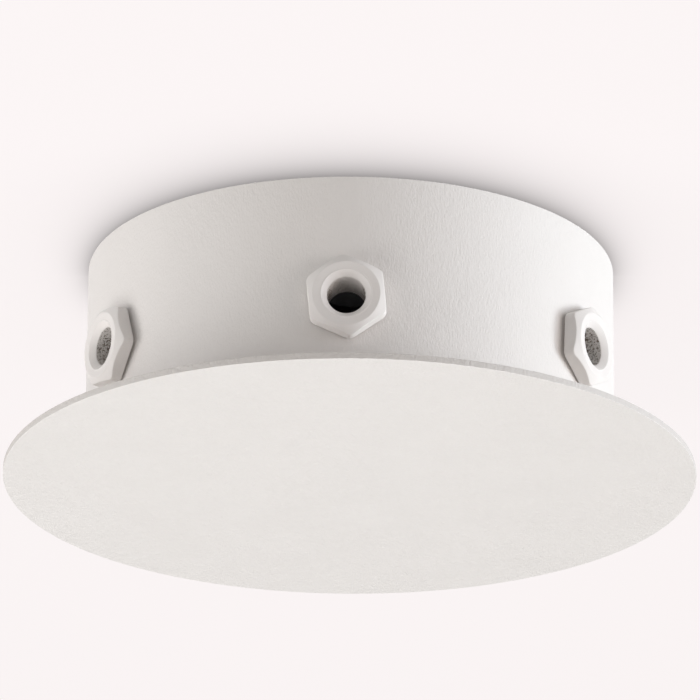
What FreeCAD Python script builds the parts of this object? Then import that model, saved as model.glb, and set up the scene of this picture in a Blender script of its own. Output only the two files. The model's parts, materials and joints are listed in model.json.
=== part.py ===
import FreeCAD, Part
import math
import os

# A ceiling rose for several pendant cables: a sheet steel drum whose closed end lies on the ceiling,
# six hexagonal cable nipples through its side wall, and a wider flat steel cover held by magnets.
# Millimetres. +Z points up to the ceiling, the ceiling plane is z = 0 and the drum's axis is the Z axis.
# Azimuth 0 is the front, -Y, and azimuth 90 is +X.

# Drum: a wall rolled from sheet, with the closed end welded in and ground flush
drum_diameter = 119.6
drum_height = 48.3
sheet_thickness = 1.2
drum_edge_round = 0.15
rim_round = 0.25

# Dish pressed into the drum's closed end, round the supply cable's entry
dish_radius = 18.0
dish_depth = 2.4
dish_slope_run = 2.4
dish_edge_radius = 1.7
dish_bend_radius = 0.6

# Slots for the ceiling screws, on the 60 mm spacing of a round ceiling box
slot_spacing = 60.0
slot_length = 12.0
slot_width = 5.0

# Screw bosses pressed into the closed end, as deep as the dish
boss_recess_radius = 4.2
boss_taper = 0.8

# Cover disc and its centring tabs
cover_diameter = 156.2
cover_thickness = 1.5
cover_edge_round = 0.1
tab_count = 3
tab_first_azimuth = 90.0
tab_width = 12.0
tab_foot_length = 9.0
tab_height = 6.5
tab_thickness = 1.0
tab_bend_radius = 1.6
tab_corner_radius = 1.5
tab_clearance = 0.5

# Cable outlets
outlet_count = 6
outlet_height = 19.3
outlet_hole_clearance = 0.2

# Cable nipple: a hexagon head with a dished face and a flared mouth, on a short threaded stem
hex_across_flats = 16.8
hex_thickness = 4.0
hex_corner_round = 1.8
hex_chamfer_angle = 33.0
hex_base_chamfer = 0.2
collar_diameter = 12.5
collar_height = 0.3
face_rim_diameter = 14.8
face_rim_round = 0.25
dished_depth = 0.15
dished_diameter = 11.6
dished_round = 0.3
lip_diameter = 11.1
lip_drop = 0.05
lip_round = 0.2
mouth_depth = 1.35
throat_round = 0.4
nipple_bore = 8.5
stem_diameter = 10.0
stem_length = 6.4
stem_end_chamfer = 0.4
nipple_clocking = (35.5, 26.0, 12.0, 41.0, 17.0, 51.0)

# Toothed lock washer between the drum's wall and the lock nut
washer_diameter = 16.0
washer_thickness = 0.8
washer_teeth = 12
washer_tooth_depth = 1.6
washer_gap_width = 1.3

# Lock nut that holds each nipple from inside
lock_nut_across_flats = 14.0
lock_nut_thickness = 3.0
lock_nut_chamfer_angle = 30.0

# Pot magnets that hold the cover, on brackets welded to the drum's wall
magnet_count = 3
magnet_first_azimuth = 30.0
magnet_cup_diameter = 16.0
magnet_cup_height = 5.0
magnet_cup_wall = 1.4
magnet_cup_floor = 1.5
magnet_cup_round = 0.5
magnet_ring_bore = 8.0
magnet_ring_clearance = 0.05
magnet_air_gap = 0.15
magnet_wall_distance = 12.0
bracket_width = 14.0
bracket_thickness = 1.5
bracket_height = 22.0
bracket_bend_radius = 2.7
bracket_corner_radius = 3.0
magnet_screw_diameter = 4.0
magnet_screw_head_diameter = 7.0
magnet_screw_head_height = 2.2
magnet_screw_tip = 0.8
nut_across_flats = 7.0
nut_thickness = 3.2

# Rubber grommet of the supply entry
entry_hole_diameter = 16.4
grommet_bore = 11.0
grommet_flange_diameter = 22.0
grommet_flange_thickness = 1.6
grommet_round = 0.7

# Terminal block with three poles
pole_count = 3
pole_pitch = 12.0
pole_width = 8.6
pole_length = 20.0
pole_height = 12.5
pole_round = 1.2
chimney_diameter = 5.6
chimney_height = 2.0
chimney_bore = 4.2
chimney_spacing = 10.0
web_length = 9.0
web_height = 7.0
terminal_centre_y = 31.0
tube_diameter = 5.2
tube_bore = 3.4
tube_length = 16.0
tube_depth = 5.4
terminal_screw_diameter = 3.0
terminal_screw_head_diameter = 3.8
terminal_screw_head_height = 1.6
terminal_screw_sunk = 1.0
fixing_screw_diameter = 3.0
fixing_screw_head_diameter = 5.0
fixing_screw_head_height = 2.0

# Earth screw
earth_y = -30.0
earth_screw_diameter = 4.0
earth_screw_head_diameter = 8.0
earth_screw_head_height = 2.6
earth_washer_diameter = 9.0
earth_washer_thickness = 0.8

# Fits shared by the pieces
thread_clearance = 0.05
seat_clearance = 0.02
screw_slot_width = 0.8
screw_slot_depth = 1.0
tip_below_ceiling = 0.4

# How far a cutting solid runs past the face it opens, and how near two places count as one
overrun = 1.0
same_place = 1e-3

# Worked out from the sizes above
drum_radius = drum_diameter / 2
drum_inside_radius = drum_radius - sheet_thickness
rim_z = -drum_height
plate_underside_z = -sheet_thickness
boss_face_z = -(dish_depth + sheet_thickness)
cover_top_z = rim_z - seat_clearance
outlet_z = rim_z + outlet_height
hole_radius = stem_diameter / 2 + outlet_hole_clearance
nipple_face = drum_radius + hex_thickness
magnet_face_z = cover_top_z + magnet_air_gap
magnet_back_z = magnet_face_z + magnet_cup_height

ORIGIN = FreeCAD.Vector(0, 0, 0)
Y_AXIS = FreeCAD.Vector(0, 1, 0)
Z_AXIS = FreeCAD.Vector(0, 0, 1)


def vector(x, y, z):
    return FreeCAD.Vector(x, y, z)


def flat_seat(half_width):
    """How far from the axis a flat piece of this half width lies when its edges touch the wall inside."""
    return math.sqrt(drum_inside_radius ** 2 - half_width ** 2) - seat_clearance


def on_section(across, up):
    """A point of a section drawn in the XZ plane."""
    return vector(across, 0, up)


def rounded_wire(corners):
    """A closed wire in the XZ plane through corners of (u, v, radius), each rounded by a tangent arc."""
    count = len(corners)
    ends = []
    for i, (u, v, radius) in enumerate(corners):
        before = corners[i - 1]
        after = corners[(i + 1) % count]
        here = vector(u, v, 0)
        back = (vector(before[0], before[1], 0) - here).normalize()
        ahead = (vector(after[0], after[1], 0) - here).normalize()
        if radius <= 0:
            ends.append((here, None, here))
            continue
        half_angle = back.getAngle(ahead) / 2
        reach = radius / math.tan(half_angle)
        centre = here + (back + ahead).normalize() * (radius / math.sin(half_angle))
        middle = centre + (here - centre).normalize() * radius
        ends.append((here + back * reach, middle, here + ahead * reach))
    edges = []
    for i, (start, middle, end) in enumerate(ends):
        if middle is not None:
            points = [on_section(p.x, p.y) for p in (start, middle, end)]
            edges.append(Part.Arc(*points).toShape())
        following = ends[(i + 1) % count][0]
        if (following - end).Length > 1e-7:
            line = Part.LineSegment(on_section(end.x, end.y), on_section(following.x, following.y))
            edges.append(line.toShape())
    return Part.Wire(edges)


def offset_path(path, distance):
    """The path of (u, v, radius) moved to its left by distance, with the radius of each bend."""
    moved = []
    for i, (u, v, radius) in enumerate(path):
        here = vector(u, v, 0)
        before = path[max(i - 1, 0)]
        after = path[min(i + 1, len(path) - 1)]
        into = here - vector(before[0], before[1], 0)
        out = vector(after[0], after[1], 0) - here
        if i == 0:
            into = vector(out.x, out.y, 0)
        if i == len(path) - 1:
            out = vector(into.x, into.y, 0)
        into.normalize()
        out.normalize()
        left_in = vector(-into.y, into.x, 0)
        left_out = vector(-out.y, out.x, 0)
        miter = (left_in + left_out).normalize()
        corner = here + miter * (distance / miter.dot(left_in))
        if radius > 0:
            left_turn = into.cross(out).z > 0
            radius = radius - distance if left_turn else radius + distance
        moved.append((corner.x, corner.y, radius))
    return moved


def sheet_section(path, thickness):
    """The closed corners of a bent sheet with one face on the path and its metal on the path's left."""
    return path + list(reversed(offset_path(path, thickness)))


def turned(corners):
    """A solid turned about the Z axis from a section of (radius, z, rounding)."""
    return Part.Face(rounded_wire(corners)).revolve(ORIGIN, Z_AXIS, 360)


def cylinder(radius, low, high, x=0.0, y=0.0):
    return Part.makeCylinder(radius, high - low, vector(x, y, low), Z_AXIS)


def box(x_low, x_high, y_low, y_high, z_low, z_high):
    return Part.makeBox(x_high - x_low, y_high - y_low, z_high - z_low, vector(x_low, y_low, z_low))


def hexagon(across_flats, low, high, clocking=0.0):
    """A hexagonal prism along Z. At clocking 0 it has a flat on +X."""
    corner_radius = across_flats / 2 / math.cos(math.radians(30))
    points = []
    for k in range(7):
        angle = math.radians(30 + 60 * k + clocking)
        points.append(vector(corner_radius * math.cos(angle), corner_radius * math.sin(angle), low))
    return Part.Face(Part.makePolygon(points)).extrude(Z_AXIS * (high - low))


def laid_outward(shape):
    """Lays a piece modelled along Z so that its axis points out along +X, at the outlets' height."""
    shape = shape.copy()
    shape.rotate(ORIGIN, Y_AXIS, 90)
    shape.translate(vector(0, 0, outlet_z))
    return shape


def at_azimuth(shape, azimuth):
    """Turns a piece modelled over +X to an azimuth."""
    shape = shape.copy()
    shape.rotate(ORIGIN, Z_AXIS, azimuth - 90)
    return shape


def azimuths(count, first):
    return [first + k * 360.0 / count for k in range(count)]


def outlet_azimuths():
    return azimuths(outlet_count, 0.0)


def magnet_azimuths():
    return azimuths(magnet_count, magnet_first_azimuth)


def save(name, solids):
    """Writes one node, with each of its solids apart."""
    shape = solids[0] if len(solids) == 1 else Part.makeCompound(solids)
    shape.exportStep(os.path.join("parts", name + ".step"))


def fixing_places():
    """The webs between the terminal block's poles, where it is screwed to the drum."""
    return [((k - (pole_count - 2) / 2) * pole_pitch, terminal_centre_y) for k in range(pole_count - 1)]


def with_boss(drum, x, y, screw_diameter):
    """Presses a boss down out of the closed end and taps it for a screw."""
    top = boss_recess_radius + sheet_thickness
    height = plate_underside_z - boss_face_z
    added = Part.makeCone(top - boss_taper, top, height, vector(x, y, boss_face_z), Z_AXIS)
    bottom = boss_recess_radius - boss_taper
    recess = Part.makeCone(bottom, boss_recess_radius, dish_depth, vector(x, y, -dish_depth), Z_AXIS)
    hole = cylinder(screw_diameter / 2 + thread_clearance, boss_face_z - overrun, overrun, x, y)
    return drum.fuse(added).cut(recess).cut(hole)


def ceiling_slot(centre_x):
    """What a ceiling screw's slot takes away. It runs along X."""
    run = (slot_length - slot_width) / 2
    half = slot_width / 2
    low = plate_underside_z - overrun
    bar = box(centre_x - run, centre_x + run, -half, half, low, overrun)
    ends = [cylinder(half, low, overrun, centre_x + side * run) for side in (-1, 1)]
    return bar.fuse(ends)


def make_drum():
    wall = [
        (drum_radius, rim_z, 0.0),
        (drum_radius, 0.0, drum_edge_round),
        (dish_radius, 0.0, dish_edge_radius),
        (dish_radius - dish_slope_run, -dish_depth, dish_bend_radius),
        (entry_hole_diameter / 2, -dish_depth, 0.0),
    ]
    corners = sheet_section(wall, sheet_thickness)
    for end in (0, -1):
        corners[end] = (corners[end][0], corners[end][1], rim_round)
    drum = turned(corners)
    for x, y in fixing_places():
        drum = with_boss(drum, x, y, fixing_screw_diameter)
    drum = with_boss(drum, 0.0, earth_y, earth_screw_diameter)
    for side in (-1, 1):
        drum = drum.cut(ceiling_slot(side * slot_spacing / 2))
    hole = laid_outward(cylinder(hole_radius, drum_inside_radius - hole_radius, drum_radius + overrun))
    for azimuth in outlet_azimuths():
        drum = drum.cut(at_azimuth(hole, azimuth))
    return drum


def make_cover():
    radius = cover_diameter / 2
    low = cover_top_z - cover_thickness
    return turned([
        (0.0, low, 0.0),
        (radius, low, cover_edge_round),
        (radius, cover_top_z, cover_edge_round),
        (0.0, cover_top_z, 0.0),
    ])


def make_tab():
    """A bent tab welded to the back of the cover, with its upright leg beside the drum's wall."""
    outer = math.sqrt((drum_inside_radius - tab_clearance) ** 2 - (tab_width / 2) ** 2)
    inner = outer - tab_foot_length
    corners = sheet_section([
        (inner, cover_top_z, 0.0),
        (outer, cover_top_z, tab_bend_radius),
        (outer, cover_top_z + tab_height, 0.0),
    ], tab_thickness)
    tab = Part.Face(rounded_wire(corners)).extrude(Y_AXIS * tab_width)
    tab.translate(vector(0, -tab_width / 2, 0))
    top = [e for e in tab.Edges if is_leg_corner(e, outer, cover_top_z + tab_height)]
    return tab.makeFillet(tab_corner_radius, top)


def is_leg_corner(edge, outer, top_z):
    """True for the two short edges at the top of a tab's leg, across the sheet."""
    along_x = abs(edge.BoundBox.XLength - tab_thickness) < same_place and edge.BoundBox.YLength < same_place
    at_end = abs(edge.BoundBox.ZMin - top_z) < same_place and edge.BoundBox.XMax > outer - same_place
    return along_x and at_end


def make_nipple_blank():
    """The nipple as it is turned, along Z: stem, collar, chamfers, dished face and flared bore."""
    bore = nipple_bore / 2
    stem_radius = stem_diameter / 2 - thread_clearance
    stem_end = drum_radius - stem_length
    base = drum_radius + collar_height
    corner = (hex_across_flats / 2 - hex_corner_round) / math.cos(math.radians(30)) + hex_corner_round
    reach = corner + overrun
    fall = (reach - face_rim_diameter / 2) * math.tan(math.radians(hex_chamfer_angle))
    return turned([
        (bore, stem_end, 0.0),
        (stem_radius - stem_end_chamfer, stem_end, 0.0),
        (stem_radius, stem_end + stem_end_chamfer, 0.0),
        (stem_radius, drum_radius, 0.0),
        (collar_diameter / 2, drum_radius, 0.0),
        (collar_diameter / 2, base, 0.0),
        (corner - hex_base_chamfer, base, 0.0),
        (reach, base + hex_base_chamfer + overrun, 0.0),
        (reach, nipple_face - fall, 0.0),
        (face_rim_diameter / 2, nipple_face, face_rim_round),
        (dished_diameter / 2, nipple_face - dished_depth, dished_round),
        (lip_diameter / 2, nipple_face - lip_drop, lip_round),
        (bore, nipple_face - mouth_depth, throat_round),
    ])


def make_nipple(clocking):
    """Along Z, with the rose's axis at z = 0 and the collar touching the wall at z = drum_radius."""
    blank = make_nipple_blank()
    low = drum_radius + collar_height / 2
    high = nipple_face + overrun
    bar = hexagon(hex_across_flats, low - overrun, high + overrun, clocking)
    upright = [e for e in bar.Edges if e.BoundBox.ZLength > overrun]
    bar = bar.makeFillet(hex_corner_round, upright)
    around = cylinder(hex_across_flats, low, high).cut(bar)
    return blank.cut(around)


def washer_outer_face():
    """Where the lock washer lies against the wall inside."""
    return flat_seat(washer_diameter / 2)


def make_lock_washer():
    outer = washer_outer_face()
    inner = outer - washer_thickness
    ring = cylinder(washer_diameter / 2, inner, outer)
    ring = ring.cut(cylinder(stem_diameter / 2 + thread_clearance, inner - overrun, outer + overrun))
    reach = washer_diameter / 2
    half = washer_gap_width / 2
    notch = box(reach - washer_tooth_depth, reach + overrun, -half, half, inner - overrun, outer + overrun)
    for azimuth in azimuths(washer_teeth, 180.0 / washer_teeth):
        ring = ring.cut(at_azimuth(notch, azimuth))
    return ring


def make_lock_nut():
    outer = washer_outer_face() - washer_thickness - seat_clearance
    inner = outer - lock_nut_thickness
    corner = lock_nut_across_flats / 2 / math.cos(math.radians(30))
    face_radius = lock_nut_across_flats / 2
    fall = (corner - face_radius) * math.tan(math.radians(lock_nut_chamfer_angle))
    envelope = turned([
        (0.0, inner, 0.0),
        (face_radius, inner, 0.0),
        (corner, inner + fall, 0.0),
        (corner, outer - fall, 0.0),
        (face_radius, outer, 0.0),
        (0.0, outer, 0.0),
    ])
    nut = hexagon(lock_nut_across_flats, inner, outer).common(envelope)
    return nut.cut(cylinder(stem_diameter / 2, inner - overrun, outer + overrun))


def magnet_radius():
    """The distance of a pot magnet's axis from the rose's axis."""
    return flat_seat(bracket_width / 2) - magnet_wall_distance


def make_bracket():
    """A bent steel bracket: its upright leg is welded to the wall, its foot carries a pot magnet."""
    outer = flat_seat(bracket_width / 2)
    low = magnet_back_z
    inner = magnet_radius() - magnet_cup_diameter / 2
    corners = sheet_section([
        (inner, low, 0.0),
        (outer, low, bracket_bend_radius),
        (outer, low + bracket_height, 0.0),
    ], bracket_thickness)
    bracket = Part.Face(rounded_wire(corners)).extrude(Y_AXIS * bracket_width)
    bracket.translate(vector(0, -bracket_width / 2, 0))
    ends = [e for e in bracket.Edges if is_foot_corner(e, inner)]
    bracket = bracket.makeFillet(bracket_corner_radius, ends)
    hole = cylinder(magnet_screw_diameter / 2 + thread_clearance, low - overrun,
                    low + bracket_thickness + overrun, magnet_radius())
    return bracket.cut(hole)


def is_foot_corner(edge, inner):
    """True for the two short upright edges at the free end of a bracket's foot."""
    upright = abs(edge.BoundBox.ZLength - bracket_thickness) < 1e-6 and edge.BoundBox.YLength < 1e-6
    return upright and abs(edge.BoundBox.XMax - inner) < 1e-6


def make_magnet_cup():
    radius = magnet_cup_diameter / 2
    pocket = radius - magnet_cup_wall
    screw_hole = magnet_screw_diameter / 2 + thread_clearance
    cup = turned([
        (screw_hole, magnet_back_z, 0.0),
        (screw_hole, magnet_back_z - magnet_cup_floor, 0.0),
        (pocket, magnet_back_z - magnet_cup_floor, 0.0),
        (pocket, magnet_face_z, 0.0),
        (radius, magnet_face_z, 0.0),
        (radius, magnet_back_z, magnet_cup_round),
    ])
    cup.translate(vector(magnet_radius(), 0, 0))
    return cup


def make_magnet_ring():
    outer = magnet_cup_diameter / 2 - magnet_cup_wall - magnet_ring_clearance
    top = magnet_back_z - magnet_cup_floor - seat_clearance
    ring = cylinder(outer, magnet_face_z, top).cut(cylinder(magnet_ring_bore / 2, magnet_face_z, top))
    ring.translate(vector(magnet_radius(), 0, 0))
    return ring


def slotted_screw(diameter, tip_z, seat_z, head_diameter, head_height, slot_along_x=True):
    """A slotted cheese-head screw pointing up, with its head under seat_z."""
    bottom = seat_z - head_height
    head = cylinder(head_diameter / 2, bottom, seat_z)
    shank = cylinder(diameter / 2, seat_z, tip_z)
    half = screw_slot_width / 2
    reach = head_diameter
    depth = bottom + screw_slot_depth
    if slot_along_x:
        slot = box(-reach, reach, -half, half, bottom - overrun, depth)
    else:
        slot = box(-half, half, -reach, reach, bottom - overrun, depth)
    return head.fuse(shank).removeSplitter().cut(slot)


def magnet_nut_top():
    return magnet_back_z + bracket_thickness + seat_clearance + nut_thickness


def make_magnet_screw():
    seat = magnet_back_z - magnet_cup_floor - seat_clearance
    tip = magnet_nut_top() + magnet_screw_tip
    screw = slotted_screw(magnet_screw_diameter, tip, seat, magnet_screw_head_diameter,
                          magnet_screw_head_height, slot_along_x=False)
    screw.translate(vector(magnet_radius(), 0, 0))
    return screw


def make_magnet_nut():
    low = magnet_back_z + bracket_thickness + seat_clearance
    nut = hexagon(nut_across_flats, low, magnet_nut_top())
    nut = nut.cut(cylinder(magnet_screw_diameter / 2 + thread_clearance, low - overrun,
                           magnet_nut_top() + overrun))
    nut.translate(vector(magnet_radius(), 0, 0))
    return nut


def make_grommet():
    bore = grommet_bore / 2
    groove = entry_hole_diameter / 2 - seat_clearance
    flange = grommet_flange_diameter / 2
    groove_top = -dish_depth + seat_clearance
    groove_low = boss_face_z - seat_clearance
    top = groove_top + grommet_flange_thickness
    low = groove_low - grommet_flange_thickness
    return turned([
        (bore, low, 0.0),
        (flange, low, grommet_round),
        (flange, groove_low, 0.0),
        (groove, groove_low, 0.0),
        (groove, groove_top, 0.0),
        (flange, groove_top, 0.0),
        (flange, top, grommet_round),
        (bore, top, 0.0),
    ])


def pole_places():
    return [(k - (pole_count - 1) / 2) * pole_pitch for k in range(pole_count)]


def tube_z():
    return boss_face_z - tube_depth


def lying_cylinder(radius, x, z, length):
    """A cylinder along Y, centred on the terminal block."""
    return Part.makeCylinder(radius, length, vector(x, terminal_centre_y - length / 2, z), Y_AXIS)


def chimney_places():
    return [terminal_centre_y + side * chimney_spacing / 2 for side in (-1, 1)]


def make_terminal_housing():
    """One moulding: three poles side by side, two screw chimneys on each, and a web between each pair."""
    y_low = terminal_centre_y - pole_length / 2
    y_high = terminal_centre_y + pole_length / 2
    low = boss_face_z - pole_height
    housing = None
    for x in pole_places():
        half = pole_width / 2
        outline = rounded_wire([
            (x - half, boss_face_z, 0.0),
            (x + half, boss_face_z, 0.0),
            (x + half, low, pole_round),
            (x - half, low, pole_round),
        ])
        pole = Part.Face(outline).extrude(Y_AXIS * pole_length)
        pole.translate(vector(0, y_low, 0))
        for y in chimney_places():
            pole = pole.fuse(cylinder(chimney_diameter / 2, low - chimney_height, low + pole_round, x, y))
        housing = pole if housing is None else housing.fuse(pole)
    for x, y in fixing_places():
        half = pole_pitch / 2
        web = box(x - half, x + half, y - web_length / 2, y + web_length / 2,
                  boss_face_z - web_height, boss_face_z)
        housing = housing.fuse(web)
    for x in pole_places():
        housing = housing.cut(lying_cylinder(tube_diameter / 2 + seat_clearance, x, tube_z(), tube_length))
        housing = housing.cut(lying_cylinder(tube_bore / 2, x, tube_z(), pole_length + 2 * overrun))
        for y in chimney_places():
            bore = cylinder(chimney_bore / 2, low - chimney_height - overrun, tube_z(), x, y)
            housing = housing.cut(bore)
    for x, y in fixing_places():
        radius = fixing_screw_diameter / 2 + thread_clearance
        housing = housing.cut(cylinder(radius, boss_face_z - pole_height, boss_face_z + overrun, x, y))
        seat = boss_face_z - web_height
        sink = cylinder(fixing_screw_head_diameter / 2 + thread_clearance,
                        seat - overrun, seat + fixing_screw_head_height, x, y)
        housing = housing.cut(sink)
    housing.translate(vector(0, 0, -seat_clearance))
    return housing.removeSplitter()


def make_terminal_tube(x):
    tube = lying_cylinder(tube_diameter / 2, x, tube_z(), tube_length)
    tube = tube.cut(lying_cylinder(tube_bore / 2, x, tube_z(), tube_length))
    for y in chimney_places():
        hole = cylinder(terminal_screw_diameter / 2 + thread_clearance, tube_z() - tube_diameter,
                        tube_z(), x, y)
        tube = tube.cut(hole)
    tube.translate(vector(0, 0, -seat_clearance))
    return tube


def make_terminal_screw(x, y):
    """Its head stands inside the chimney and its end is flush with the tube's bore."""
    bottom = boss_face_z - seat_clearance - pole_height - chimney_height + terminal_screw_sunk
    tip = tube_z() - seat_clearance - tube_bore / 2
    screw = slotted_screw(terminal_screw_diameter, tip, bottom + terminal_screw_head_height,
                          terminal_screw_head_diameter, terminal_screw_head_height)
    screw.translate(vector(x, y, 0))
    return screw


def make_fixing_screw(x, y):
    seat = boss_face_z - seat_clearance - web_height + fixing_screw_head_height - seat_clearance
    screw = slotted_screw(fixing_screw_diameter, -tip_below_ceiling, seat,
                          fixing_screw_head_diameter, fixing_screw_head_height)
    screw.translate(vector(x, y, 0))
    return screw


def make_earth_washer():
    top = boss_face_z - seat_clearance
    low = top - earth_washer_thickness
    washer = cylinder(earth_washer_diameter / 2, low, top)
    washer = washer.cut(cylinder(earth_screw_diameter / 2 + thread_clearance, low, top))
    washer.translate(vector(0, earth_y, 0))
    return washer


def make_earth_screw():
    seat = boss_face_z - seat_clearance - earth_washer_thickness - seat_clearance
    screw = slotted_screw(earth_screw_diameter, -tip_below_ceiling, seat,
                          earth_screw_head_diameter, earth_screw_head_height)
    screw.translate(vector(0, earth_y, 0))
    return screw


def round_the_drum(shape, places):
    return [at_azimuth(shape, azimuth) for azimuth in places]


def build():
    os.makedirs("parts", exist_ok=True)
    save("canopy_drum", [make_drum()])
    save("cover_disc", [make_cover()])
    save("cover_centring_tabs", round_the_drum(make_tab(), azimuths(tab_count, tab_first_azimuth)))

    washer = laid_outward(make_lock_washer())
    lock_nut = laid_outward(make_lock_nut())
    for k, azimuth in enumerate(outlet_azimuths()):
        nipple = laid_outward(make_nipple(nipple_clocking[k % len(nipple_clocking)]))
        save("cable_nipple_%d" % (k + 1), [at_azimuth(nipple, azimuth)])
    save("nipple_lock_washers", round_the_drum(washer, outlet_azimuths()))
    save("nipple_lock_nuts", round_the_drum(lock_nut, outlet_azimuths()))

    bracket = make_bracket()
    cup = make_magnet_cup()
    ring = make_magnet_ring()
    for k, azimuth in enumerate(magnet_azimuths()):
        save("magnet_bracket_%d" % (k + 1), [at_azimuth(bracket, azimuth)])
        save("magnet_cup_%d" % (k + 1), [at_azimuth(cup, azimuth)])
        save("magnet_ring_%d" % (k + 1), [at_azimuth(ring, azimuth)])
    save("magnet_screws", round_the_drum(make_magnet_screw(), magnet_azimuths()))
    save("magnet_nuts", round_the_drum(make_magnet_nut(), magnet_azimuths()))

    save("entry_grommet", [make_grommet()])
    save("terminal_housing", [make_terminal_housing()])
    save("terminal_tubes", [make_terminal_tube(x) for x in pole_places()])
    save("terminal_screws", [make_terminal_screw(x, y) for x in pole_places() for y in chimney_places()])
    save("terminal_fixing_screws", [make_fixing_screw(x, y) for x, y in fixing_places()])
    save("earth_washer", [make_earth_washer()])
    save("earth_screw", [make_earth_screw()])


build()
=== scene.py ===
import json
import math

import bpy
from mathutils import Matrix, Vector


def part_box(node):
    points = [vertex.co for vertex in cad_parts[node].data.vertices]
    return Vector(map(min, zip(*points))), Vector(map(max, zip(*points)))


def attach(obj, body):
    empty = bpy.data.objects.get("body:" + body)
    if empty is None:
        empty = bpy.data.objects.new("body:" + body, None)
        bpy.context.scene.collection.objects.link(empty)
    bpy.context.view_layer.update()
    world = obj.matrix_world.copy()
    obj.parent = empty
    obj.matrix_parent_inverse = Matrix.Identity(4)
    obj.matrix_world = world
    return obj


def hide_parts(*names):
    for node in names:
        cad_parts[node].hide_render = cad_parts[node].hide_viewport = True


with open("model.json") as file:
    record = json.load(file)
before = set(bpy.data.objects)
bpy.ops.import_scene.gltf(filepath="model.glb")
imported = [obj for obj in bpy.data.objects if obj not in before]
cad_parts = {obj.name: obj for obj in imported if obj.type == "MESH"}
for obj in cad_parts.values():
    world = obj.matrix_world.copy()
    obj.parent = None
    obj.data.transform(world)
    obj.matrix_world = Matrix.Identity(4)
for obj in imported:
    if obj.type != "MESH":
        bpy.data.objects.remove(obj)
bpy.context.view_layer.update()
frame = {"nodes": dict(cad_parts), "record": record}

# A ceiling rose, seen from below and in front. The frame's nodes keep their shapes and get their materials.
# The six cable nipples are replaced by finer ones with a cut thread. Lengths are metres unless a name or a
# comment says millimetres.
MM = 0.001

# Camera, fitted to the outlines of the cover and the drum. Angles are radians.
CAMERA_DISTANCE = 1.4702
CAMERA_ELEVATION = -0.3456
CAMERA_AZIMUTH = 0.0153
CAMERA_PITCH = 0.02025
CAMERA_YAW = -0.00006
CAMERA_ROLL = 0.0062
FOCAL_PIXELS = 6519.0
IMAGE_PIXELS = 700.0
SENSOR_WIDTH_MM = 36.0

# Where the pieces are
DRUM_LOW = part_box("canopy_drum")[0]
COVER_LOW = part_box("cover_disc")[0]
NIPPLE_LOW, NIPPLE_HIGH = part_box("cable_nipple_1")
DRUM_RADIUS = 59.8 * MM
OUTLET_Z = (NIPPLE_LOW.z + NIPPLE_HIGH.z) / 2
OUTLET_COUNT = 6

# Cable nipple, in millimetres as it is turned and milled
HEX_ACROSS_FLATS = 16.8
HEX_THICKNESS = 4.0
HEX_CHAMFER_ANGLE = math.radians(33)
HEX_CORNER_ROUND = 1.8
HEX_BACK_ROUND = 0.2
HEX_SHOULDER_ROUND = 0.35
COLLAR_RADIUS = 6.25
COLLAR_HEIGHT = 0.3
FACE_RIM_RADIUS = 7.4
FACE_RIM_ROUND = 0.35
DISHED_RADIUS = 5.8
DISHED_DEPTH = 0.15
DISHED_ROUND = 0.3
LIP_RADIUS = 5.55
LIP_DROP = 0.05
LIP_ROUND = 0.25
MOUTH_DEPTH = 1.35
THROAT_ROUND = 0.4
BORE_RADIUS = 4.25
STEM_RADIUS = 4.95
STEM_LENGTH = 6.4
STEM_CHAMFER = 0.4
THREAD_PITCH = 1.0
THREAD_DEPTH = 0.3
NIPPLE_CLOCKING = (35.5, 26.0, 12.0, 41.0, 17.0, 51.0)

# How finely the nipples are meshed: points round the axis, on each rounding, and on the runs between them
AROUND = 180
ARC_POINTS = 5
STEM_STEPS = 36
FLANK_STEPS = 2
CHAMFER_STEPS = 3
FACE_STEPS = 1
MOUTH_STEPS = 1
BORE_STEPS = 14
SHARP_ANGLE = math.radians(50)
TOLERANCE = 1e-6

# Paint
PAINT_DARK = (0.789, 0.759, 0.735)
PAINT_LIGHT = (0.801, 0.771, 0.747)
# The nipples' copy of the paint is a little lighter than the drum's: painted light on the nipples
NIPPLE_LIT_PAINT_DARK = (0.803, 0.770, 0.746)
NIPPLE_LIT_PAINT_LIGHT = (0.825, 0.792, 0.768)
PAINT_ROUGHNESS = (0.5, 0.62)
PAINT_ROUGHNESS_SCALE = 300.0
PAINT_SPECULAR = 0.4
BROAD_GRAIN_SCALE = 0.2
BROAD_GRAIN_HEIGHT = 0.6
# The cover's cut edge is painted darker: painted shade on its edge band, which also tones down the lamps'
# highlight there
CUT_EDGE_PAINTED_SHADE = (0.62, 0.59, 0.565)
CUT_EDGE_RADIUS = 77.5 * MM
CUT_EDGE_FACING = 0.6

# Bare metal in the nipples' bores
BORE_METAL_DARK = (0.06, 0.046, 0.034)
BORE_METAL_LIGHT = (0.30, 0.235, 0.18)
BORE_METAL_SCALE = 1500.0
BORE_ROUGHNESS = (0.35, 0.6)
BORE_RELIEF = 0.3 * MM
SPECKLE_SCALE = 2300.0
SPECKLE_DETAIL = 2.5
SPECKLE_ROUGHNESS = 0.75
SPECKLE_EDGE = (-0.03, 0.07)
OVERSPRAY_AT_THROAT = 0.60
OVERSPRAY_INSIDE = 0.52
OVERSPRAY_REACH_MM = 5.0
# Extra white on the front bore's upper side: painted light where light falls in at its mouth
ROOF_PAINTED_LIGHT = 0.3
ROOF_FACING = (-0.95, -0.45)
FRONT_NIPPLE_Y = -45 * MM

# Noise lies mostly in the first of these ranges, and in the second where more of it is to be at the ends
NOISE_RANGE = (0.3, 0.7)
MOTTLE_RANGE = (0.35, 0.65)

# Other solids: scale of their grain and height of their relief
METAL_GRAIN_SCALE = 700.0
METAL_MOTTLE_SCALE = 90.0
METAL_RELIEF = 0.02 * MM
SOLID_GRAIN_SCALE = 500.0
SOLID_MOTTLE_SCALE = 120.0
SOLID_RELIEF = 0.03 * MM
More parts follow.
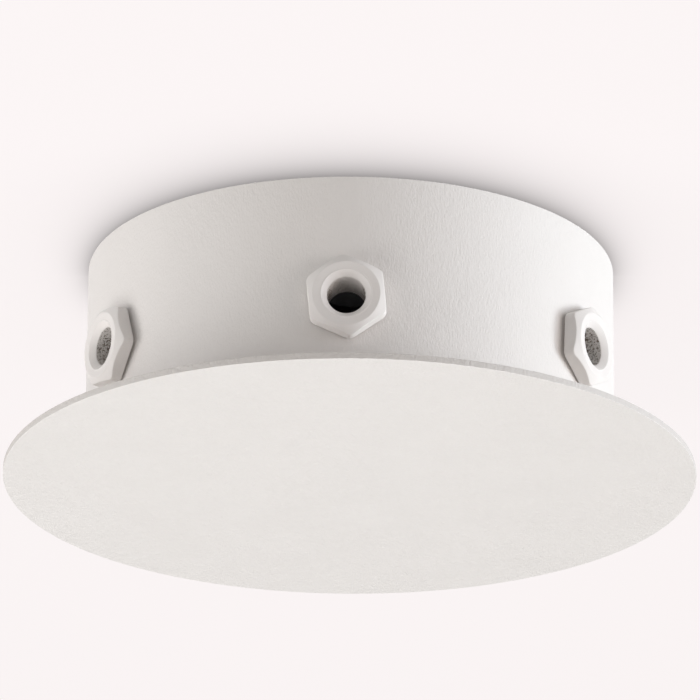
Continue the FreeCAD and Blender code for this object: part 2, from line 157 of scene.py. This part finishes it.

# Ceiling, and the soft shade painted into its colour round the drum: how far the painted shade reaches and how
# dark it is, and what is added in front
CEILING_COLOUR = (0.963, 0.913, 0.913)
CEILING_LIT_SHARE = 0.1
CEILING_HALF_WIDTH = 3.0
CEILING_Z = 0.1 * MM
SHADE_REACH = 3.0 * MM
SHADE_REACH_FRONT = 7.1 * MM
SHADE_DEPTH = 0.33
SHADE_DEPTH_FRONT = 0.28
# Dark sheet over the supply entry that keeps the drum's inside in shade: its half width and height
ENTRY_SHADE_HALF_WIDTH = 4.4 * MM
ENTRY_SHADE_Z = 0.05 * MM

# Lamps: name, azimuth and elevation in degrees, size in metres, power in watts, colour.
# Azimuth 0 is the front and 90 the right.
LAMP_DISTANCE = 1.2
LAMPS = (
    ("right", 90, -8, 0.35, 5.1, (0.87, 0.96, 1.0)),
    ("right_wide", 78, 0, 0.6, 5.2, (0.80, 0.89, 1.0)),
    ("front_right", 60, -8, 0.8, 3.5, (1.0, 0.87, 0.80)),
    ("right_low", 60, -40, 1.0, 1.3, (1.0, 0.95, 0.90)),
    ("left", 279, -8, 0.5, 4.9, (1.0, 0.98, 0.98)),
    ("left_low", 300, -40, 1.0, 6.6, (1.0, 0.99, 0.97)),
    ("below", 0, -88, 1.0, 4.2, (0.97, 0.985, 1.0)),
    ("above", 0, 80, 1.0, 1.5, (1.0, 0.98, 0.95)),
    ("back", 180, 55, 1.0, 6.0, (1.0, 1.0, 1.0)),
)
WORLD_LIGHT = (1.0, 0.99, 0.98)
WORLD_STRENGTH = 0.32
BACKGROUND = (0.93, 0.90, 0.90)


def link(obj):
    bpy.context.scene.collection.objects.link(obj)
    return obj


def make_camera():
    """The camera looks up at the cover from in front."""
    pitch = CAMERA_PITCH - CAMERA_ELEVATION
    turn = Matrix.Rotation(CAMERA_AZIMUTH, 3, "Z")
    ahead = Vector((math.sin(CAMERA_YAW), math.cos(pitch), math.sin(pitch))).normalized()
    right = ahead.cross(Vector((0, 0, 1))).normalized()
    up = right.cross(ahead)
    rolled_right = math.cos(CAMERA_ROLL) * right + math.sin(CAMERA_ROLL) * up
    rolled_up = math.cos(CAMERA_ROLL) * up - math.sin(CAMERA_ROLL) * right
    back = Vector((0, -math.cos(CAMERA_ELEVATION), math.sin(CAMERA_ELEVATION)))
    place = turn @ (back * CAMERA_DISTANCE) + Vector((0, 0, COVER_LOW.z))
    axes = Matrix((turn @ rolled_right, turn @ rolled_up, turn @ -ahead)).transposed()
    data = bpy.data.cameras.new("camera")
    data.sensor_width = SENSOR_WIDTH_MM
    data.lens = FOCAL_PIXELS * SENSOR_WIDTH_MM / IMAGE_PIXELS
    camera = link(bpy.data.objects.new("camera", data))
    camera.matrix_world = Matrix.Translation(place) @ axes.to_4x4()
    bpy.context.scene.camera = camera


# Materials


class Nodes:
    """The node tree of a material or of the world, with short calls to add and link nodes."""

    def __init__(self, owner, output_kind):
        owner.use_nodes = True
        self.owner = owner
        self.tree = owner.node_tree
        self.tree.nodes.clear()
        self.output = self.add(output_kind)

    def add(self, kind, **settings):
        node = self.tree.nodes.new(kind)
        for name, value in settings.items():
            setattr(node, name, value)
        return node

    def join(self, source, target):
        self.tree.links.new(source, target)

    def fill(self, socket, value):
        """Links a node's output to the socket, or sets its number or colour."""
        if isinstance(value, bpy.types.NodeSocket):
            self.join(value, socket)
        elif isinstance(value, tuple):
            socket.default_value = (*value, 1)
        else:
            socket.default_value = value

    def ramp(self, value, value_range, result_range=(0.0, 1.0), smooth=False):
        """Takes the value from its range to the result's, and holds it at the ends."""
        node = self.add("ShaderNodeMapRange", interpolation_type="SMOOTHSTEP" if smooth else "LINEAR")
        for name, setting in zip(("From Min", "From Max", "To Min", "To Max"), (*value_range, *result_range)):
            node.inputs[name].default_value = setting
        self.join(value, node.inputs["Value"])
        return node.outputs["Result"]

    def math(self, operation, *values):
        node = self.add("ShaderNodeMath", operation=operation)
        for socket, value in zip(node.inputs, values):
            self.fill(socket, value)
        return node.outputs["Value"]

    def vector_math(self, operation, first):
        node = self.add("ShaderNodeVectorMath", operation=operation)
        self.join(first, node.inputs[0])
        return node

    def scaled(self, vector, factors):
        node = self.vector_math("MULTIPLY", vector)
        node.inputs[1].default_value = factors
        return node.outputs["Vector"]

    def split(self, vector):
        """The outputs X, Y and Z of a vector."""
        node = self.add("ShaderNodeSeparateXYZ")
        self.join(vector, node.inputs[0])
        return node.outputs

    def blend(self, share, first, second):
        """The colour first where share is 0, and second where it is 1."""
        node = self.add("ShaderNodeMix", data_type="RGBA")
        self.join(share, node.inputs["Factor"])
        self.fill(node.inputs[6], first)
        self.fill(node.inputs[7], second)
        return node.outputs[2]

    def blend_shaders(self, share, first, second):
        """The shader first where share is 0, and second where it is 1."""
        node = self.add("ShaderNodeMixShader")
        self.fill(node.inputs["Fac"], share)
        self.join(first, node.inputs[1])
        self.join(second, node.inputs[2])
        return node.outputs["Shader"]


class MaterialNodes(Nodes):
    """A new material's node tree, whose textures follow the object's own coordinates."""

    def __init__(self, name):
        super().__init__(bpy.data.materials.new(name), "ShaderNodeOutputMaterial")
        self.position = self.add("ShaderNodeTexCoord").outputs["Object"]

    def normal(self):
        return self.add("ShaderNodeNewGeometry").outputs["Normal"]

    def noise(self, scale, detail=2.0, roughness=0.5, tall=1.0):
        """Noise of that scale, whose marks are drawn out upright by the factor tall."""
        node = self.add("ShaderNodeTexNoise")
        for name, setting in (("Scale", scale), ("Detail", detail), ("Roughness", roughness)):
            node.inputs[name].default_value = setting
        position = self.position if tall == 1.0 else self.scaled(self.position, (1, 1, 1 / tall))
        self.join(position, node.inputs["Vector"])
        return node.outputs["Fac"]

    def bump(self, height, distance, under=None):
        node = self.add("ShaderNodeBump")
        node.inputs["Strength"].default_value = 1.0
        node.inputs["Distance"].default_value = distance
        self.join(height, node.inputs["Height"])
        if under is not None:
            self.join(under, node.inputs["Normal"])
        return node.outputs["Normal"]

    def surface(self, colour, roughness, normal, **fixed):
        """Ends the tree with one shader. The fixed numbers are set on its own sockets, by their names."""
        shader = self.add("ShaderNodeBsdfPrincipled")
        for name, value in fixed.items():
            shader.inputs[name.replace("_", " ").title().replace("Ior", "IOR")].default_value = value
        for name, value in (("Base Color", colour), ("Roughness", roughness), ("Normal", normal)):
            self.join(value, shader.inputs[name])
        self.join(shader.outputs["BSDF"], self.output.inputs["Surface"])
        return self.owner


def cut_edge(nodes):
    """1 on the cover's cut edge and 0 on its faces."""
    place = nodes.split(nodes.position)
    squares = [nodes.math("POWER", place[axis], 2.0) for axis in ("X", "Y")]
    outside = nodes.math("GREATER_THAN", nodes.math("ADD", *squares), CUT_EDGE_RADIUS ** 2)
    facing = nodes.split(nodes.normal())
    upright = nodes.math("LESS_THAN", nodes.math("ABSOLUTE", facing["Z"]), CUT_EDGE_FACING)
    return nodes.math("MULTIPLY", outside, upright)


def powder_coat(name, dark, light, grain, height, mottle_scale=60.0, tall=1.0, shade_painted_on_edge=False):
    """Matt white powder coat with a grain of that size and height, and painted shade on the cover's cut edge
    where asked.
    """
    nodes = MaterialNodes(name)
    colour = nodes.blend(nodes.ramp(nodes.noise(mottle_scale, 4.0), MOTTLE_RANGE), dark, light)
    # Painted shade: the cover's cut edge is coloured darker.
    if shade_painted_on_edge:
        colour = nodes.blend(cut_edge(nodes), colour, CUT_EDGE_PAINTED_SHADE)
    fine = nodes.noise(1 / grain, 3.0, 0.6, tall)
    broad = nodes.noise(BROAD_GRAIN_SCALE / grain)
    normal = nodes.bump(fine, height, under=nodes.bump(broad, height * BROAD_GRAIN_HEIGHT))
    roughness = nodes.ramp(nodes.noise(PAINT_ROUGHNESS_SCALE), NOISE_RANGE, PAINT_ROUGHNESS)
    return nodes.surface(colour, roughness, normal, specular_ior_level=PAINT_SPECULAR)


def bore_metal():
    """Bare rough metal in the bores, speckled with stray white paint from spraying; the front bore's upper side
    is painted whiter as painted light.
    """
    nodes = MaterialNodes("nipple_bore_metal")
    depth = nodes.add("ShaderNodeAttribute", attribute_name="depth_mm").outputs["Fac"]
    facing = nodes.split(nodes.normal())
    in_front = nodes.math("LESS_THAN", nodes.split(nodes.position)["Y"], FRONT_NIPPLE_Y)
    # Painted light: the front bore's upper side is coloured whiter.
    roof_painted_light = nodes.ramp(facing["Z"], ROOF_FACING, (ROOF_PAINTED_LIGHT, 0.0), smooth=True)
    inward = nodes.ramp(depth, (0.0, OVERSPRAY_REACH_MM), (OVERSPRAY_AT_THROAT, OVERSPRAY_INSIDE))
    overspray_and_painted_light = nodes.math("ADD", inward, nodes.math("MULTIPLY", roof_painted_light, in_front))
    speckle = nodes.noise(SPECKLE_SCALE, SPECKLE_DETAIL, SPECKLE_ROUGHNESS)
    over_threshold = nodes.math("SUBTRACT", speckle, nodes.math("SUBTRACT", 1.0, overspray_and_painted_light))
    painted = nodes.ramp(over_threshold, SPECKLE_EDGE)
    mottle = nodes.ramp(nodes.noise(BORE_METAL_SCALE, 4.0), NOISE_RANGE)
    bare = nodes.blend(mottle, BORE_METAL_DARK, BORE_METAL_LIGHT)
    colour = nodes.blend(painted, bare, NIPPLE_LIT_PAINT_LIGHT)
    roughness = nodes.ramp(speckle, NOISE_RANGE, BORE_ROUGHNESS)
    return nodes.surface(colour, roughness, nodes.bump(speckle, BORE_RELIEF), specular_ior_level=PAINT_SPECULAR)


def metal(name, dark, light, roughness_range):
    nodes = MaterialNodes(name)
    grain = nodes.noise(METAL_GRAIN_SCALE, 5.0, 0.6)
    colour = nodes.blend(nodes.ramp(nodes.noise(METAL_MOTTLE_SCALE, 4.0), NOISE_RANGE), dark, light)
    roughness = nodes.ramp(grain, NOISE_RANGE, roughness_range)
    return nodes.surface(colour, roughness, nodes.bump(grain, METAL_RELIEF), metallic=1.0)


def plain_solid(name, dark, light, roughness_range):
    """Rubber, nylon and other solids without paint or shine."""
    nodes = MaterialNodes(name)
    grain = nodes.noise(SOLID_GRAIN_SCALE, 4.0, 0.6)
    colour = nodes.blend(nodes.ramp(nodes.noise(SOLID_MOTTLE_SCALE, 4.0), NOISE_RANGE), dark, light)
    roughness = nodes.ramp(grain, NOISE_RANGE, roughness_range)
    return nodes.surface(colour, roughness, nodes.bump(grain, SOLID_RELIEF))


def ceiling_material():
    """Pale from below, with a soft shade of the drum painted into its colour close round its edge. From above
    it is not there.
    """
    nodes = MaterialNodes("ceiling")
    flat = nodes.scaled(nodes.position, (1, 1, 0))
    distance = nodes.vector_math("LENGTH", flat).outputs["Value"]
    forward = nodes.math("MULTIPLY", nodes.split(flat)["Y"], -1.0)
    ahead = nodes.math("MAXIMUM", nodes.math("DIVIDE", forward, distance), 0.0)
    gap = nodes.math("MAXIMUM", nodes.math("SUBTRACT", distance, DRUM_RADIUS), 0.0)
    more_reach = nodes.math("MULTIPLY", nodes.math("POWER", ahead, 2.0), SHADE_REACH_FRONT)
    reach = nodes.math("ADD", more_reach, SHADE_REACH)
    more_depth = nodes.math("MULTIPLY", nodes.math("SQRT", ahead), SHADE_DEPTH_FRONT)
    depth = nodes.math("ADD", more_depth, SHADE_DEPTH)
    # Painted shade: the colour darkens close round the drum, most in front.
    fading = nodes.math("EXPONENT", nodes.math("MULTIPLY", nodes.math("DIVIDE", gap, reach), -1.0))
    brightness = nodes.math("SUBTRACT", 1.0, nodes.math("MULTIPLY", depth, fading))
    colour = nodes.blend(brightness, (0.0, 0.0, 0.0), CEILING_COLOUR)
    own = nodes.add("ShaderNodeEmission")
    nodes.join(colour, own.inputs["Color"])
    lit = nodes.add("ShaderNodeBsdfDiffuse")
    nodes.join(colour, lit.inputs["Color"])
    face = nodes.blend_shaders(CEILING_LIT_SHARE, own.outputs["Emission"], lit.outputs["BSDF"])
    from_above = nodes.add("ShaderNodeNewGeometry").outputs["Backfacing"]
    clear = nodes.add("ShaderNodeBsdfTransparent").outputs["BSDF"]
    nodes.join(nodes.blend_shaders(from_above, face, clear), nodes.output.inputs["Surface"])
    return nodes.owner


# Shapes


def rounded(corners):
    """The points of a closed outline through corners of (u, v, radius, points on the run that follows)."""
    points = []
    count = len(corners)
    ends = []
    for i, (u, v, radius, _) in enumerate(corners):
        here = Vector((u, v))
        if radius <= 0:
            ends.append([here])
            continue
        back = (Vector(corners[i - 1][:2]) - here).normalized()
        ahead = (Vector(corners[(i + 1) % count][:2]) - here).normalized()
        half = back.angle(ahead) / 2
        centre = here + (back + ahead).normalized() * (radius / math.sin(half))
        start = here + back * (radius / math.tan(half)) - centre
        end = here + ahead * (radius / math.tan(half)) - centre
        turn = start.angle_signed(end)
        arc = []
        for k in range(ARC_POINTS):
            angle = -turn * k / (ARC_POINTS - 1)
            c, s = math.cos(angle), math.sin(angle)
            arc.append(centre + Vector((start.x * c - start.y * s, start.x * s + start.y * c)))
        ends.append(arc)
    for i, arc in enumerate(ends):
        points.extend(arc)
        steps = corners[i][3]
        following = ends[(i + 1) % count][0]
        for k in range(1, steps + 1):
            points.append(arc[-1].lerp(following, k / (steps + 1)))
    return points


def hex_radius(angle, clocking):
    """The hexagon's radius at an angle, with its six edges rounded."""
    flat = HEX_ACROSS_FLATS / 2
    turn = abs((math.degrees(angle) - clocking + 30) % 60 - 30)
    reach = (flat - HEX_CORNER_ROUND) / math.cos(math.radians(30))
    straight = reach * math.sin(math.radians(30))
    if flat * math.tan(math.radians(turn)) <= straight:
        return flat / math.cos(math.radians(turn))
    aside = math.radians(30 - turn)
    return reach * math.cos(aside) + math.sqrt(HEX_CORNER_ROUND ** 2 - (reach * math.sin(aside)) ** 2)


def thread_radius(distance, angle, stem_end):
    """The radius of the stem at that distance out, with its thread cut in."""
    turn = distance / THREAD_PITCH - angle / (2 * math.pi)
    across = abs((turn % 1.0) * 2 - 1)
    fade = min(1.0, max(0.0, (distance - stem_end) / THREAD_PITCH))
    return STEM_RADIUS - THREAD_DEPTH * across * fade


def nipple_section(angle, clocking):
    """The nipple's closed section at an angle, as points of (radius, distance from the rose's axis) in mm."""
    wall = DRUM_RADIUS / MM
    base = wall + COLLAR_HEIGHT
    face = wall + HEX_THICKNESS
    end = wall - STEM_LENGTH
    edge = hex_radius(angle, clocking)
    shoulder = face - (edge - FACE_RIM_RADIUS) * math.tan(HEX_CHAMFER_ANGLE)
    return rounded([
        (BORE_RADIUS, end, 0, 0),
        (STEM_RADIUS - STEM_CHAMFER, end, 0, 0),
        (STEM_RADIUS, end + STEM_CHAMFER, 0, STEM_STEPS),
        (STEM_RADIUS, wall, 0, 0),
        (COLLAR_RADIUS, wall, 0, 0),
        (COLLAR_RADIUS, base, 0, 0),
        (edge, base, HEX_BACK_ROUND, FLANK_STEPS),
        (edge, shoulder, HEX_SHOULDER_ROUND, CHAMFER_STEPS),
        (FACE_RIM_RADIUS, face, FACE_RIM_ROUND, FACE_STEPS),
        (DISHED_RADIUS, face - DISHED_DEPTH, DISHED_ROUND, 0),
        (LIP_RADIUS, face - LIP_DROP, LIP_ROUND, MOUTH_STEPS),
        (BORE_RADIUS, face - MOUTH_DEPTH, THROAT_ROUND, BORE_STEPS),
    ])


def make_nipple(number, azimuth, clocking, paint, bare):
    """A closed mesh, round the nipple's axis and along its section."""
    name = "cable_nipple_%d_detailed" % number
    wall = DRUM_RADIUS / MM
    end = wall - STEM_LENGTH
    throat = wall + HEX_THICKNESS - MOUTH_DEPTH
    outward = Matrix.Rotation(math.radians(azimuth - 90), 4, "Z")
    to_world = outward @ Matrix.Translation((0, 0, OUTLET_Z))
    vertices = []
    depths = []
    for column in range(AROUND):
        angle = 2 * math.pi * column / AROUND
        for radius, distance in nipple_section(angle, clocking):
            if abs(radius - STEM_RADIUS) < TOLERANCE and distance < wall - TOLERANCE:
                radius = thread_radius(distance, angle, end)
            down = radius * math.cos(angle)
            right = radius * math.sin(angle)
            vertices.append(to_world @ (Vector((distance, right, -down)) * MM))
            depths.append(throat - distance)
    rows = len(vertices) // AROUND
    first_bare_row = rows - BORE_STEPS - 2  # the last face of the throat's rounding is bare too
    faces = []
    inside = []
    for column in range(AROUND):
        beside = (column + 1) % AROUND
        for row in range(rows):
            after = (row + 1) % rows
            corners = ((column, row), (column, after), (beside, after), (beside, row))
            faces.append([corner_column * rows + corner_row for corner_column, corner_row in corners])
            inside.append(int(row >= first_bare_row))
    mesh = bpy.data.meshes.new(name)
    mesh.from_pydata(vertices, [], faces)
    mesh.materials.append(paint)
    mesh.materials.append(bare)
    mesh.polygons.foreach_set("material_index", inside)
    mesh.polygons.foreach_set("use_smooth", [True] * len(faces))
    mesh.set_sharp_from_angle(angle=SHARP_ANGLE)
    attribute = mesh.attributes.new("depth_mm", "FLOAT", "POINT")
    attribute.data.foreach_set("value", depths)
    mesh.update()
    nipple = link(bpy.data.objects.new(name, mesh))
    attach(nipple, "canopy")
    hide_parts("cable_nipple_%d" % number)


def make_square(name, half, height, material):
    """A level square round the rose's axis, facing down."""
    corners = [(-half, -half, height), (-half, half, height), (half, half, height), (half, -half, height)]
    mesh = bpy.data.meshes.new(name)
    mesh.from_pydata(corners, [], [(0, 1, 2, 3)])
    mesh.materials.append(material)
    return link(bpy.data.objects.new(name, mesh))


def make_ceiling():
    """The camera sees the ceiling, and the light goes through it."""
    ceiling = make_square("ceiling", CEILING_HALF_WIDTH, CEILING_Z, ceiling_material())
    ceiling.visible_diffuse = False
    ceiling.visible_glossy = False
    ceiling.visible_shadow = False
    ceiling.visible_transmission = False


def make_entry_shade():
    """A dark sheet over most of the supply entry, unseen by the camera, which keeps light out of the drum and
    leaves its inside in shade.
    """
    light_blocking_sheet = plain_solid("entry_shade", (0.02, 0.02, 0.02), (0.03, 0.03, 0.03), (0.8, 0.9))
    shade = make_square("entry_shade", ENTRY_SHADE_HALF_WIDTH, ENTRY_SHADE_Z, light_blocking_sheet)
    shade.visible_camera = False


# Light


def make_lamp(name, azimuth, elevation, size, power, colour):
    a, e = math.radians(azimuth), math.radians(elevation)
    away = Vector((math.sin(a) * math.cos(e), -math.cos(a) * math.cos(e), math.sin(e)))
    data = bpy.data.lights.new(name, "AREA")
    data.shape = "DISK"
    data.size = size
    data.energy = power
    data.color = colour
    lamp = link(bpy.data.objects.new(name, data))
    place = Vector((0, 0, DRUM_LOW.z)) + away * LAMP_DISTANCE
    lamp.matrix_world = Matrix.Translation(place) @ away.to_track_quat("Z", "Y").to_matrix().to_4x4()


def make_world():
    """Even soft light, and a white background for the camera, in reflections and through what is clear."""
    world = bpy.data.worlds.new("studio")
    bpy.context.scene.world = world
    nodes = Nodes(world, "ShaderNodeOutputWorld")
    backgrounds = []
    for colour, strength in ((WORLD_LIGHT, WORLD_STRENGTH), (BACKGROUND, 1.0)):
        node = nodes.add("ShaderNodeBackground")
        nodes.fill(node.inputs["Color"], colour)
        nodes.fill(node.inputs["Strength"], strength)
        backgrounds.append(node.outputs["Background"])
    rays = nodes.add("ShaderNodeLightPath").outputs
    seen = nodes.math("MAXIMUM", rays["Is Camera Ray"], rays["Is Glossy Ray"])
    seen = nodes.math("MAXIMUM", seen, rays["Is Transmission Ray"])
    nodes.join(nodes.blend_shaders(seen, *backgrounds), nodes.output.inputs["Surface"])


def dress(materials):
    """Gives each of the frame's nodes its material, by the record's slot."""
    for entry in frame["record"]["subparts"]:
        node = frame["nodes"][entry["node"]]
        node.data.materials.clear()
        node.data.materials.append(materials[entry["material_slot"]])


MATERIALS = {
    "white_textured_paint": powder_coat("white_textured_paint", PAINT_DARK, PAINT_LIGHT,
                                        grain=0.4 * MM, height=0.11 * MM, tall=2.5),
    "white_smooth_paint": powder_coat("white_smooth_paint", PAINT_DARK, PAINT_LIGHT,
                                      grain=0.8 * MM, height=0.28 * MM, shade_painted_on_edge=True),
    "white_nipple_paint": powder_coat("white_nipple_paint", NIPPLE_LIT_PAINT_DARK, NIPPLE_LIT_PAINT_LIGHT,
                                      grain=0.5 * MM, height=0.02 * MM, mottle_scale=150.0),
    "terminal_nylon": plain_solid("terminal_nylon", (0.70, 0.69, 0.64), (0.76, 0.75, 0.70), (0.35, 0.5)),
    "zinc_plated_steel": metal("zinc_plated_steel", (0.52, 0.53, 0.55), (0.66, 0.67, 0.70), (0.28, 0.45)),
    "nickel_plated_steel": metal("nickel_plated_steel", (0.60, 0.58, 0.54), (0.70, 0.68, 0.63), (0.15, 0.3)),
    "magnet_ferrite": plain_solid("magnet_ferrite", (0.035, 0.035, 0.038), (0.06, 0.06, 0.065), (0.4, 0.6)),
    "grey_rubber": plain_solid("grey_rubber", (0.045, 0.045, 0.047), (0.07, 0.07, 0.073), (0.55, 0.75)),
    "terminal_brass": metal("terminal_brass", (0.55, 0.40, 0.16), (0.68, 0.52, 0.24), (0.22, 0.4)),
}

make_camera()
make_world()
make_ceiling()
make_entry_shade()
for lamp in LAMPS:
    make_lamp(*lamp)
dress(MATERIALS)
bare_metal = bore_metal()
for index in range(OUTLET_COUNT):
    make_nipple(index + 1, 360 / OUTLET_COUNT * index, NIPPLE_CLOCKING[index],
                MATERIALS["white_nipple_paint"], bare_metal)
bpy.context.scene.view_settings.view_transform = "Standard"
